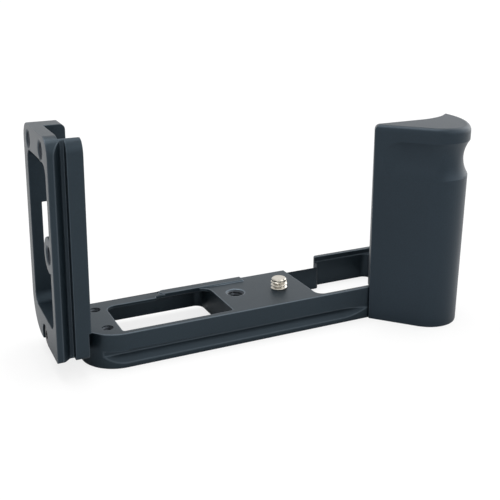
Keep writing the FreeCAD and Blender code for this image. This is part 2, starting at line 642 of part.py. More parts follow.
# Hand grip: a slanted front, a round nose, a side arc that widens upwards and a hollow back.
grip = new_body("hand_grip")
EDGE_Y = "-front_reach - grip_proud"
HOLLOW = "(grip_back_reach - grip_corner_reach)"
HOLLOW_LENGTH = f"sqrt(2 * grip_back_radius * {HOLLOW} - {HOLLOW} ^ 2)"


def nose_centre(reach):
    """The centre of a nose that reaches so far forwards and runs on smoothly from the front face."""
    y = f"(grip_nose_radius - {reach})"
    return f"(grip_left + (grip_nose_radius + ({EDGE_Y} - {y}) * cos(grip_angle)) / sin(grip_angle))", y


def side_centre(nose, radius):
    """The centre of a side arc that runs on smoothly from the nose."""
    reach = f"({radius} - grip_nose_radius)"
    return f"({nose[0]} - {reach} * cos(45))", f"({nose[1]} + {reach} * sin(45))"


def grip_outline(level, lift=None):
    """The outline of the grip at its foot or its top."""
    nose = nose_centre(f"grip_nose_{level}")
    side_x, side_y = side_centre(nose, f"grip_side_{level}")
    face_end = (f"{nose[0]} - grip_nose_radius * sin(grip_angle)", f"{nose[1]} - grip_nose_radius * cos(grip_angle)")
    nose_end = (f"{nose[0]} + grip_nose_radius * cos(45)", f"{nose[1]} - grip_nose_radius * sin(45)")
    corner_x = f"({side_x} + sqrt(grip_side_{level} ^ 2 - ({side_y} + grip_corner_reach) ^ 2))"
    back_end = f"({corner_x} - {HOLLOW_LENGTH})"
    outline = new_sketch(grip, f"grip_{level}", "XY_Plane", lift)
    trace(outline, [
        (("grip_left", EDGE_Y), None, None),
        (face_end, nose, 1),
        (nose_end, (side_x, side_y), 1),
        ((corner_x, "-grip_corner_reach"), (back_end, "-grip_back_reach + grip_back_radius"), -1),
        ((back_end, "-grip_back_reach"), None, None),
        ((f"grip_left + grip_bevel_{level}", "-grip_back_reach"), None, None),
    ])
    return outline


outlines = [grip_outline("foot"), grip_outline("top", "grip_height")]
block = grip.newObject("PartDesign::AdditiveLoft", "grip_block")
block.Profile = outlines[0]
block.Sections = [outlines[1]]
doc.recompute()

# The grip stands on the deck, bears on the plate's front face and takes the tab from below.
seat = rectangle(grip, "grip_seat", "XY_Plane", ("grip_left - 1", FRONT), ("right_reach + 10", "0"))
pocket(grip, seat, "base_height")
slot = rectangle(grip, "grip_slot", "XY_Plane", ("tab_left - tab_gap", f"{TAB_FRONT} - tab_gap"),
                 (f"{TAB_RIGHT} + tab_gap", "-front_reach + 1"))
pocket(grip, slot, "tab_height")
for name, place in SCREW_X.items():
    drill(grip, f"grip_hole_{name}", "XY_Plane", (place, SCREW_Y), "grip_screw_radius",
          "grip_screw_length + drill_margin - tab_height", "tab_height")

top = size("grip_height")
soften(grip, "Fillet", lambda edge: near(edge.BoundBox.ZMin, top) and near(edge.BoundBox.ZMax, top),
       "grip_top_round", "grip_top_edge")

# Finger scallop: a round cutter carried along the front, round the nose and out past the corner.
RIDE = "(scallop_radius - scallop_depth)"
REACH, SIDE = [
    f"({foot} + ({top} - {foot}) * scallop_height / grip_height)"
    for foot, top in (("grip_nose_foot", "grip_nose_top"), ("grip_side_foot", "grip_side_top"))
]
NOSE = nose_centre(REACH)
SIDE_X, SIDE_Y = side_centre(NOSE, SIDE)
START = (
    f"grip_left + scallop_start * cos(grip_angle) - {RIDE} * sin(grip_angle)",
    f"{EDGE_Y} - scallop_start * sin(grip_angle) - {RIDE} * cos(grip_angle)",
)
PAST = "14"
path = new_sketch(grip, "scallop_path", "XY_Plane", "scallop_height")
trace(path, [
    (START, None, None),
    ((f"{NOSE[0]} - (grip_nose_radius + {RIDE}) * sin(grip_angle)",
      f"{NOSE[1]} - (grip_nose_radius + {RIDE}) * cos(grip_angle)"), NOSE, 1),
    ((f"{NOSE[0]} + (grip_nose_radius + {RIDE}) * cos(45)",
      f"{NOSE[1]} - (grip_nose_radius + {RIDE}) * sin(45)"), (SIDE_X, SIDE_Y), 1),
    ((f"{SIDE_X} + ({SIDE} + {RIDE}) * cos({PAST})",
      f"{SIDE_Y} + ({SIDE} + {RIDE}) * sin({PAST})"), None, None),
], closed=False)
profile = new_sketch(grip, "scallop_profile", "XZ_Plane")
profile.AttachmentOffset = FreeCAD.Placement(
    FreeCAD.Vector(0, 0, 0), FreeCAD.Rotation(FreeCAD.Vector(0, 1, 0), size("90 - grip_angle")))
bind(profile, AttachmentOffset__Rotation__Angle="90 - grip_angle",
     AttachmentOffset__Base__x=START[0], AttachmentOffset__Base__z=f"-({START[1]})")
profile.addGeometry(Part.Circle(FreeCAD.Vector(0, size("scallop_height"), 0), FreeCAD.Vector(0, 0, 1),
                                size("scallop_radius")), False)
set_radius(profile, 0, "scallop_radius")
fix(profile, "DistanceX", 0, 3, "0")
fix(profile, "DistanceY", 0, 3, "scallop_height")
doc.recompute()
before = grip.Shape.Volume
scallop = grip.newObject("PartDesign::SubtractivePipe", "scallop")
scallop.Profile = profile
scallop.Spine = path
doc.recompute()
must_cut(grip, before, "scallop")
before = grip.Shape.Volume
scallop_end = grip.newObject("PartDesign::SubtractiveSphere", "scallop_end")
bind(scallop_end, Radius="scallop_radius", Placement__Base__x=START[0], Placement__Base__y=START[1],
     Placement__Base__z="scallop_height")
doc.recompute()
must_cut(grip, before, "scallop_end")

# Camera screw, with the hexagon socket in its head, and the washer on the head.
HEAD_TOP = "head_floor + head_height"
HEAD_RADIUS = "counterbore_radius - head_clearance"
SCREW_TOP = "base_height + screw_projection"
camera_screw = new_body("camera_screw")
turned_part(camera_screw, [
    (HEAD_RADIUS, "head_floor"), (HEAD_RADIUS, HEAD_TOP),
    ("tapped_radius - running_clearance", HEAD_TOP), ("tapped_radius - running_clearance", "base_height"),
    ("screw_radius", "base_height"), ("screw_radius", f"{SCREW_TOP} - screw_tip_chamfer"),
    ("screw_radius - screw_tip_chamfer", SCREW_TOP),
])
socket(camera_screw, "key_radius", "key_depth", "XY_Plane", ("0", "0"), "head_floor")

washer = new_body("screw_washer")
ring = circle(washer, "washer_ring", "XY_Plane", ("0", "0"), f"{HEAD_RADIUS} - washer_inset", HEAD_TOP)
pad(washer, ring, "washer_thickness")
drill(washer, "washer_hole", "XY_Plane", ("0", "0"), "tapped_radius + running_clearance", "washer_thickness", HEAD_TOP)

# Side screw, along X, and its two dowel pins.
side_screw = new_body("side_screw")
HEAD_FACE = f"{OUTER} + side_head_sink"
head = circle(side_screw, "side_head", "YZ_Plane", (MIDDLE, "side_screw_height"), "side_head_radius", HEAD_FACE)
pad(side_screw, head, "side_head_height")
shank = circle(side_screw, "side_shank", "YZ_Plane", (MIDDLE, "side_screw_height"), "side_screw_radius", HEAD_FACE)
pad(side_screw, shank, "side_thickness - side_head_sink + side_screw_grip")
socket(side_screw, "socket_radius", "socket_depth", "YZ_Plane", (MIDDLE, "side_screw_height"), HEAD_FACE)

pins = []
for name, place in PIN_PLACES.items():
    pin = new_body(f"side_pin_{name}")
    pad(pin, circle(pin, f"pin_{name}", "YZ_Plane", place, "pin_radius", f"{LEFT} - pin_depth"), "2 * pin_depth")
    pins.append(pin)

# Countersunk screws that hold the grip from below.
grip_screws = []
for name, place in SCREW_X.items():
    screw = new_body(f"grip_screw_{name}")
    turned_part(screw, [
        ("cone_radius", "0"), ("grip_screw_radius", "cone_height"), ("grip_screw_radius", "grip_screw_length"),
    ], (place, SCREW_Y))
    socket(screw, "socket_radius", "socket_depth", "XY_Plane", (place, SCREW_Y), "0")
    grip_screws.append(screw)

# Each piece is tested and written as a file of its own.
os.makedirs("parts", exist_ok=True)
pieces = [base, side, grip, camera_screw, washer, side_screw] + pins + grip_screws
for thing in doc.Objects:
    if "Invalid" in thing.State or "Error" in thing.State:
        raise ValueError(f"{thing.Name} did not compute")
for piece in pieces:
    shape = piece.Shape
    if shape.isNull() or not shape.isValid() or len(shape.Solids) != 1:
        raise ValueError(f"{piece.Label} is not one sound solid")
    shape.exportStep(f"parts/{piece.Label}.step")
    box = shape.BoundBox
    print(f"{piece.Label}: {box.XLength:.1f} x {box.YLength:.1f} x {box.ZLength:.1f} mm, {shape.Volume:.0f} mm3")
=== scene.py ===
# %% [markdown]
# # A camera plate with a side plate and a hand grip
# The real object sits between a camera and a tripod: a long plate under the camera, an upright plate beside it
# and a grip for the hand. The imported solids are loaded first. They fix every size and place, so all that
# follows only dresses them.

# %% Load the frame
import math

import bmesh
import bpy
from mathutils import Matrix, Vector
from mathutils.bvhtree import BVHTree


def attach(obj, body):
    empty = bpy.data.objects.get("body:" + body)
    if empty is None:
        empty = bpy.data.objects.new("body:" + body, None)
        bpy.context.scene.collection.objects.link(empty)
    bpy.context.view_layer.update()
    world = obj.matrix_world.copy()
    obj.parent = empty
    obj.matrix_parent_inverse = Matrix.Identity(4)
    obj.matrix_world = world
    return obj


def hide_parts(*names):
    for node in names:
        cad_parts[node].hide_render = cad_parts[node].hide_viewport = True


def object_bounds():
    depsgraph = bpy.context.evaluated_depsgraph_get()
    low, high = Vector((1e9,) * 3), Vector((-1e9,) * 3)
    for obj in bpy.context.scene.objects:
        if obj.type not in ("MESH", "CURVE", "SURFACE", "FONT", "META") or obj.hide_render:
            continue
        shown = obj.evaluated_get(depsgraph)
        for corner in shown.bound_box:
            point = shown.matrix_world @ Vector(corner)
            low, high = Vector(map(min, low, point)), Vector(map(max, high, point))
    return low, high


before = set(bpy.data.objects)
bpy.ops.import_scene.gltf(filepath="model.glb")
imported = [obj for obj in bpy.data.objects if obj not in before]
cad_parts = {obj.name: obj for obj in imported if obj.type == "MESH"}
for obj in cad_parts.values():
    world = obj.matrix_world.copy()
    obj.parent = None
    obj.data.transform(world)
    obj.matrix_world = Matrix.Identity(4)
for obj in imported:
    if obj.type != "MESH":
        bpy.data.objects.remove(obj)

cad_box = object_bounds()
scene = bpy.context.scene
MM = 0.001
print("nodes:", sorted(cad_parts))

# %% [markdown]
# ## The camera
# The photograph was solved as a plain pinhole view, from edges and hole centres of the object. Its centre line
# misses the middle of the picture, as in a picture that was cropped, so the camera gets a shift and not only a
# tilt: a tilt alone would make the uprights lean too much. The shift is kept smaller than the best fit, which
# moves the outlines by about two pixels and keeps the object in the picture when the camera goes round it.

# %% Camera
PICTURE = 500
SENSOR_MM = 36.0
# Focal length and centre line in pixels, the eye in metres, the three turns in radians, the clipping in metres.
FOCAL_PX = 812.477
CENTRE_PX = (226.154, 150.0)
EYE = Vector((-0.139973, -0.262151, 0.133374))
YAW, PITCH, ROLL = 0.422427, 0.21889, -0.005829
NEAREST, FARTHEST = 0.01, 20


def add_camera():
    """The camera at the photograph's place, with its shift, made the scene's own."""
    data = bpy.data.cameras.new("product_camera")
    data.sensor_fit = "HORIZONTAL"
    data.sensor_width = SENSOR_MM
    data.lens = FOCAL_PX / PICTURE * SENSOR_MM
    data.shift_x = (PICTURE / 2 - CENTRE_PX[0]) / PICTURE
    data.shift_y = (CENTRE_PX[1] - PICTURE / 2) / PICTURE
    data.clip_start, data.clip_end = NEAREST, FARTHEST
    camera = bpy.data.objects.new("product_camera", data)
    forward = Vector((math.sin(YAW) * math.cos(PITCH), math.cos(YAW) * math.cos(PITCH), -math.sin(PITCH)))
    level = Vector((math.cos(YAW), -math.sin(YAW), 0))
    upward = level.cross(forward)
    right = level * math.cos(ROLL) + upward * math.sin(ROLL)
    upward = right.cross(forward)
    camera.matrix_world = Matrix((
        (right.x, upward.x, -forward.x, EYE.x),
        (right.y, upward.y, -forward.y, EYE.y),
        (right.z, upward.z, -forward.z, EYE.z),
        (0, 0, 0, 1),
    ))
    scene.collection.objects.link(camera)
    scene.camera = camera
    return camera


camera = add_camera()
print("lens", round(camera.data.lens, 2), "shift", round(camera.data.shift_x, 4), round(camera.data.shift_y, 4))

# %% [markdown]
# ## Colours and nodes
# A hex colour is written as the eye reads it on a screen, but the renderer adds up light, so each colour is
# turned to linear values once, here. The same small function adds every node of every tree in this file.

# %% Helpers for colours and nodes
def linear(hex_colour):
    """An sRGB hex colour as linear red, green, blue and alpha."""
    parts = [int(hex_colour[place:place + 2], 16) / 255 for place in (1, 3, 5)]
    return [part / 12.92 if part <= 0.04045 else ((part + 0.055) / 1.055) ** 2.4 for part in parts] + [1.0]


def scaled(hex_colour, factor):
    """The same colour with its light scaled."""
    return [part * factor for part in linear(hex_colour)[:3]] + [1.0]


def add_node(tree, kind, settings=None, sockets=None):
    """Add a node, set its own settings, then fill its sockets with values or with links from other sockets."""
    node = tree.nodes.new(kind)
    for name, value in (settings or {}).items():
        setattr(node, name, value)
    for key, value in (sockets or {}).items():
        if isinstance(value, bpy.types.NodeSocket):
            tree.links.new(value, node.inputs[key])
        else:
            node.inputs[key].default_value = value
    return node


MATH = "ShaderNodeMath"
print("the plates' black in linear light:", [round(part, 4) for part in linear("#1b272f")])

# %% [markdown]
# ## Bead-blasted, black anodised aluminium
# The plates and the grip are milled from aluminium, blasted with fine beads and dyed black in the anodising
# bath. The eye gets a matte, faintly blue black that turns grey where light skims it. The blasted grain is
# about a tenth of a millimetre wide, too fine to show here, so it is drawn four times as coarse. The dye also
# clouds a little over some centimetres. The edges broken after milling get a lighter colour, a painted
# highlight, so the faces of each broken edge carry an attribute that the material reads.

# %% Anodised aluminium
# The dyed layer is clear oxide over metal, so the finish lies between paint, 0, and bare metal, 1.
OXIDE_METALLIC = 0.65
# How much the dye's clouds and the grain change the colour, and the grain the roughness, up and down.
CLOUD_CHANGE = 0.14
SPECK_CHANGE = 0.12
GLOSS_CHANGE = 0.04
# Most of a noise lies between these two levels.
NOISE_LOW, NOISE_HIGH = 0.3, 0.7
GRAIN_DEPTH = 0.02 * MM


def anodised(name, face, edge, roughness, grain_mm, cloud_mm):
    """Anodised aluminium with the colour of its faces and a lighter colour painted on its broken edges as a
    highlight.
    """
    material = bpy.data.materials.new(name)
    material.use_nodes = True
    tree = material.node_tree
    shader = tree.nodes["Principled BSDF"]
    shader.inputs["Metallic"].default_value = OXIDE_METALLIC
    place = add_node(tree, "ShaderNodeTexCoord").outputs["Object"]
    grain = add_node(tree, "ShaderNodeTexNoise", sockets={
        "Vector": place, "Scale": 1 / (grain_mm * MM), "Detail": 2.0, "Roughness": 0.6})
    cloud = add_node(tree, "ShaderNodeTexNoise", sockets={
        "Vector": place, "Scale": 1 / (cloud_mm * MM), "Detail": 3.0, "Roughness": 0.5})
    # The faces of the broken edges carry their share of a lighter colour, a painted highlight.
    edge_highlight = add_node(tree, "ShaderNodeAttribute", {"attribute_name": "painted_highlight_share"})
    dye = add_node(tree, "ShaderNodeMix", {"data_type": "RGBA"}, {
        0: cloud.outputs["Fac"], 6: scaled(face, 1 - CLOUD_CHANGE), 7: scaled(face, 1 + CLOUD_CHANGE)})
    speck = add_node(tree, "ShaderNodeMapRange", sockets={
        "Value": grain.outputs["Fac"], "From Min": NOISE_LOW, "From Max": NOISE_HIGH,
        "To Min": 1 - SPECK_CHANGE, "To Max": 1 + SPECK_CHANGE})
    speckled = add_node(tree, "ShaderNodeMix", {"data_type": "RGBA", "blend_type": "MULTIPLY"}, {
        0: 1.0, 6: dye.outputs[2], 7: speck.outputs["Result"]})
    highlighted_edges = add_node(tree, "ShaderNodeMix", {"data_type": "RGBA"}, {
        0: edge_highlight.outputs["Fac"], 6: speckled.outputs[2], 7: linear(edge)})
    tree.links.new(highlighted_edges.outputs[2], shader.inputs["Base Color"])
    gloss = add_node(tree, "ShaderNodeMapRange", sockets={
        "Value": grain.outputs["Fac"], "From Min": NOISE_LOW, "From Max": NOISE_HIGH,
        "To Min": roughness - GLOSS_CHANGE, "To Max": roughness + GLOSS_CHANGE})
    tree.links.new(gloss.outputs["Result"], shader.inputs["Roughness"])
    relief = add_node(tree, "ShaderNodeBump", sockets={
        "Height": grain.outputs["Fac"], "Distance": GRAIN_DEPTH, "Strength": 0.35})
    tree.links.new(relief.outputs["Normal"], shader.inputs["Normal"])
    return material


# The second colour of each finish is the painted highlight on the broken edges.
plate_finish = anodised("anodised_aluminium_bead_blasted", "#1b272f", "#4a545c", 0.44, 0.4, 24)
grip_finish = anodised("anodised_aluminium_grip", "#1b2730", "#46505a", 0.47, 0.4, 30)
# The flanks of a tapped thread are cut smooth, so they shine more than the blasted faces.
thread_finish = anodised("anodised_aluminium_tapped", "#33383e", "#33383e", 0.3, 0.3, 5)
print("made", plate_finish.name, grip_finish.name, thread_finish.name)

# %% [markdown]
# ## Turned steel
# The camera screw is bright stainless steel, turned on a lathe, so fine rings run round its axis and stretch
# every highlight a little. The rings of a real screw are a few hundredths of a millimetre apart, too fine to
# show here, so they are drawn ten times as coarse. The dowel pins are ground, which leaves them a little
# brighter. The small fixing screws are blackened with oxide, which stays thin and oily.

# %% Steel
# Along a ring the noise hardly changes, across the rings it changes at once.
ALONG_RING_MM = 25.0
# How dark the darkest ring is, and how much the rings change the roughness, up and down.
RING_SHADE = 0.8
RING_GLOSS = 0.06
RING_DEPTH = 0.01 * MM


def steel(name, colour, roughness, ring_mm, axis):
    """Steel with turning rings across the given axis: 0, 1 or 2 for X, Y or Z."""
    material = bpy.data.materials.new(name)
    material.use_nodes = True
    tree = material.node_tree
    shader = tree.nodes["Principled BSDF"]
    shader.inputs["Metallic"].default_value = 1.0
    place = add_node(tree, "ShaderNodeTexCoord").outputs["Object"]
    stretch = [1 / (ALONG_RING_MM * MM)] * 3
    stretch[axis] = 1 / (ring_mm * MM)
    along = add_node(tree, "ShaderNodeMapping", {"vector_type": "POINT"}, {"Vector": place, "Scale": stretch})
    rings = add_node(tree, "ShaderNodeTexNoise", sockets={
        "Vector": along.outputs["Vector"], "Scale": 1.0, "Detail": 3.0})
    shade = add_node(tree, "ShaderNodeMix", {"data_type": "RGBA"}, {
        0: rings.outputs["Fac"], 6: scaled(colour, RING_SHADE), 7: linear(colour)})
    tree.links.new(shade.outputs[2], shader.inputs["Base Color"])
    gloss = add_node(tree, "ShaderNodeMapRange", sockets={
        "Value": rings.outputs["Fac"], "To Min": roughness - RING_GLOSS, "To Max": roughness + RING_GLOSS})
    tree.links.new(gloss.outputs["Result"], shader.inputs["Roughness"])
    relief = add_node(tree, "ShaderNodeBump", sockets={
        "Height": rings.outputs["Fac"], "Distance": RING_DEPTH, "Strength": 0.3})
    tree.links.new(relief.outputs["Normal"], shader.inputs["Normal"])
    return material


stainless = steel("stainless_steel_turned", "#c2bdb3", 0.24, 0.25, 2)
pin_steel = steel("stainless_steel_ground", "#cfcbc4", 0.2, 0.3, 0)
black_steel = steel("black_oxide_steel", "#2a2a2c", 0.38, 0.3, 2)
print("made", stainless.name, pin_steel.name, black_steel.name)

# %% [markdown]
# ## Tapped holes
# Six holes of the real object hold threads. In the solids they are plain holes, as wide as the tap drill. Their
# walls could keep that size, but then a thread could only be painted on. So the copies get their walls widened
# to the outside of the thread, and the real helix is put into that room as a piece of its own further down.

# %% Where the tapped holes are
# The radius of the drilled hole, the radius that its wall is opened to, and the thread's pitch.
QUARTER_INCH = {"minor": 2.6 * MM, "back": 3.15 * MM, "pitch": 1.27 * MM}
FOUR_MM = {"minor": 1.65 * MM, "back": 2.0 * MM, "pitch": 0.7 * MM}
DECK = 12.7 * MM
OUTER_FACE = -90 * MM
MOUTH_DEPTH = 0.9 * MM
# Each hole has its axis (0, 1 or 2 for X, Y or Z) and runs from low to high, measured from its centre. The wide
# mouth of a hole starts at its seat, which is a level of the frame, and opens up or down the axis.
base_holes = {
    "tripod": dict(QUARTER_INCH, axis=2, centre=(-17.5 * MM, 2.5 * MM, 0), low=0, high=DECK,
                   mouth={"seat": DECK - MOUTH_DEPTH, "way": 1}),
    "pad_front": dict(FOUR_MM, axis=2, centre=(-70.7 * MM, -7.4 * MM, 0), low=0, high=DECK),
    "pad_rear": dict(FOUR_MM, axis=2, centre=(-70.7 * MM, 9.2 * MM, 0), low=0, high=DECK),
}
side_holes = {
    name: dict(QUARTER_INCH, axis=0, centre=(OUTER_FACE, y * MM, z * MM), low=0, high=depth * MM,
               mouth={"seat": OUTER_FACE + MOUTH_DEPTH, "way": -1})
    for name, y, z, depth in (("middle", -8.6, 42.4, 6.0), ("upper_front", -4.4, 76.9, 4.4),
                              ("upper_rear", 15.3, 76.9, 11.8))
}
print("tapped holes:", len(base_holes) + len(side_holes))

# %% Open a tapped hole
# A point belongs to a hole's wall when it lies this close to it, a few hundredths of a millimetre at most.
SLACK = 0.01 * MM


def open_holes(mesh, holes):
    """Widen the wall of each tapped hole to the back of its thread, and return the points that it moved."""
    moved = set()
    for hole in holes:
        axis, centre = hole["axis"], Vector(hole["centre"])
        growth = hole["back"] - hole["minor"]
        for vert in mesh.verts:
            spoke = vert.co - centre
            along = spoke[axis]
            spoke[axis] = 0
            inside = -SLACK < along - hole["low"] < hole["high"] - hole["low"] + 2 * SLACK
            if inside and abs(spoke.length - hole["minor"]) < 4 * SLACK:
                level = vert.co[axis]
                vert.co = centre + spoke.normalized() * hole["back"]
                vert.co[axis] = level
                mouth = hole.get("mouth")
                if mouth is not None and abs(level - mouth["seat"]) < 2 * SLACK:
                    vert.co[axis] = level + mouth["way"] * growth
                moved.add(vert)
    return moved


print("a quarter inch hole opens by", round((QUARTER_INCH["back"] - QUARTER_INCH["minor"]) / MM, 2), "mm")

# %% [markdown]
# ## Milled pieces
# A milled part never has a perfect edge: a file or a chamfer cutter breaks it, and that narrow band is what
# catches the light. The solids arrive as triangles with sharp edges. A bevel modifier could round them, but it
# can't mark which faces it made, so the bevel is run here in mesh code and its faces are marked for the
# material. First doubles are merged and the triangles of each flat are joined, so that the bevel sees whole
# faces, and hollow outlines are cut into plain ones again, because a bevel goes wrong on them. Where two bands
# meet on a face that is too narrow for both, their points would stray off the part, so these are put back on it.

# %% Put a finished mesh in the scene
# How strongly large flat faces straighten the shading at their corners: 50 is Blender's middle value.
FLAT_WEIGHT = 60


def add_piece(name, data, body, finish):
    """Put a mesh in the scene with smooth shading that leaves its flats flat, on a body of the frame."""
    for polygon in data.polygons:
        polygon.use_smooth = True
    data.materials.clear()
    data.materials.append(finish)
    piece = bpy.data.objects.new(name, data)
    scene.collection.objects.link(piece)
    evener = piece.modifiers.new("even_shading", "WEIGHTED_NORMAL")
    evener.weight = FLAT_WEIGHT
    evener.keep_sharp = True
    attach(piece, body)
    return piece


def count_open(mesh):
    """Edges without two faces: none on a closed piece."""
    return sum(1 for edge in mesh.edges if not edge.is_manifold)


# %% Copy a node with broken edges
# Faces that differ by less than this lie in one flat, in degrees.
FLAT_DEGREES = 0.05
# A point of the bevel that lies farther from the part than this share of the band has strayed.
STRAY_SHARE = 0.75
# Points that the bevel leaves closer together than this become one.
MERGED = 0.001 * MM
# The share of the lighter edge colour, a painted highlight, on a band above the given height, and on any other
# band.
FULL_PAINTED_HIGHLIGHT, FAINT_PAINTED_HIGHLIGHT = 1.0, 0.25


def milled_copy(name, node, band, body, finish, holes=(), merge=0.002 * MM, sharp=(28, 180), crisp=50,
                trim=None, highlighted_above=1.0):
    """A copy of a node with a narrow band broken off its edges, in metres and degrees.

    Edges between the two angles of sharp are broken, and those above crisp stay sharp in the shading. Points
    closer than merge become one. Bands higher than the last argument's height get the full painted highlight
    colour, the others a faint share of it. A trim changes the mesh first and, like the opened holes, returns
    points whose edges are left whole."""
    mesh = bmesh.new()
    mesh.from_mesh(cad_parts[node].data)
    bmesh.ops.remove_doubles(mesh, verts=mesh.verts, dist=merge)
    spared = open_holes(mesh, holes) | (trim(mesh) if trim else set())
    surface = BVHTree.FromBMesh(mesh)
    bmesh.ops.dissolve_limit(mesh, angle_limit=math.radians(FLAT_DEGREES), verts=mesh.verts, edges=mesh.edges)
    bmesh.ops.connect_verts_concave(mesh, faces=mesh.faces)
    least, most = (math.radians(angle) for angle in sharp)
    edges = [edge for edge in mesh.edges if edge.is_manifold and least < edge.calc_face_angle() < most
             and not (edge.verts[0] in spared and edge.verts[1] in spared)]
    highlight_share_layer = mesh.faces.layers.float.new("painted_highlight_share")
    bevel = bmesh.ops.bevel(mesh, geom=edges, offset=band, offset_type="OFFSET", segments=2, profile=0.6,
                            affect="EDGES", clamp_overlap=False)
    # The faces of each band get a share of the lighter edge colour, a painted highlight: the full share above
    # the given height, a faint one below.
    for face in bevel["faces"]:
        face[highlight_share_layer] = FULL_PAINTED_HIGHLIGHT if face.calc_center_median().z > highlighted_above else FAINT_PAINTED_HIGHLIGHT
    for vert in bevel["verts"]:
        nearest, _, _, distance = surface.find_nearest(vert.co)
        if distance > STRAY_SHARE * band:
            vert.co = nearest
    bmesh.ops.remove_doubles(mesh, verts=mesh.verts, dist=MERGED)
    for edge in mesh.edges:
        edge.smooth = edge.is_manifold and edge.calc_face_angle() < math.radians(crisp)
    open_edges = count_open(mesh)
    data = bpy.data.meshes.new(name)
    mesh.to_mesh(data)
    mesh.free()
    piece = add_piece(name, data, body, finish)
    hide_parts(node)
    print(name, "faces", len(data.polygons), "edges broken", len(edges), "open edges", open_edges)


# %% [markdown]
# ## The plates and the grip
# The base plate lies under the camera, the side plate lets it stand upright on the tripod, and the fingers close
# round the grip. All three could be modelled again by eye, but their solids already have every size right, so
# copies of these are dressed. The bands are about a third of a millimetre wide, like a light stroke of a file.

# %% The plates and the grip
# On the base plate only the edges of the deck get the full painted highlight; the groove's edges keep a faint
# one.
milled_copy("base_plate_milled", "base_plate", 0.32 * MM, "bracket", plate_finish,
            base_holes.values(), highlighted_above=DECK - 0.25 * MM)
milled_copy("side_plate_milled", "side_plate", 0.32 * MM, "bracket", plate_finish,
            side_holes.values())
# The grip's rounds are made of many narrow faces, which meet at low angles that are no edges. The tip of its
# nose is a fold too tight for a band. Both are left out of the angles that are broken.
milled_copy("hand_grip_milled", "hand_grip", 0.3 * MM, "bracket", grip_finish,
            merge=0.03 * MM, sharp=(45, 110), crisp=27)

# %% [markdown]
# ## Screws, washer and pins
# The camera screw's solid has a plain end where its thread is. The copy gets a slimmer end, which a real helical
# thread then covers. The other small parts keep their shapes and only lose their razor edges.

# %% Small parts
THREAD_FOOT = 12.7 * MM
THREAD_TOP = 16.7 * MM
THREAD_ROOT = 2.55 * MM
# The slim end has this share of the plain end's radius, and both of its rims are drawn in, so that it lies
# wholly inside the thread.
CORE_SHARE = 0.72
FOOT_IN, TOP_IN = 0.2 * MM, 0.6 * MM
TOP_RIM = 16 * MM
# A point belongs to the plain end when it lies above its foot and outside the thread's root, to within these.
FOOT_SLACK, ROOT_SLACK = 0.05 * MM, 0.01 * MM


def slim_end(mesh):
    """Slim the plain end of the camera screw, so that it hides inside the thread."""
    moved = set()
    for vert in mesh.verts:
        radius = math.hypot(vert.co.x, vert.co.y)
        if vert.co.z > THREAD_FOOT - FOOT_SLACK and radius > THREAD_ROOT + ROOT_SLACK:
            vert.co.x *= CORE_SHARE
            vert.co.y *= CORE_SHARE
            vert.co.z += FOOT_IN if vert.co.z < TOP_RIM else -TOP_IN
            moved.add(vert)
    return moved


milled_copy("camera_screw_turned", "camera_screw", 0.22 * MM, "camera_screw", stainless,
            trim=slim_end)
milled_copy("screw_washer_stamped", "screw_washer", 0.1 * MM, "washer", stainless)
milled_copy("side_screw_blackened", "side_screw", 0.12 * MM, "bracket", black_steel)
for end in ("left", "right"):
    milled_copy("grip_screw_%s_blackened" % end, "grip_screw_" + end, 0.14 * MM, "bracket",
                black_steel)
for end in ("front", "rear"):
    milled_copy("side_pin_%s_ground" % end, "side_pin_" + end, 0.15 * MM, "bracket", pin_steel)

# %% [markdown]
# ## Threads
# A thread follows a rule: its radius depends only on how far round and how far along a point lies. A modelled
# spiral sweep would cross itself at its ends, so a grid is wrapped round the axis instead, and each point gets
# its radius from the rule. The same tree makes outside threads, with a chamfered tip, and the threads of tapped
# holes, as thin sleeves with a countersunk mouth. Three more rows of points close the shape.

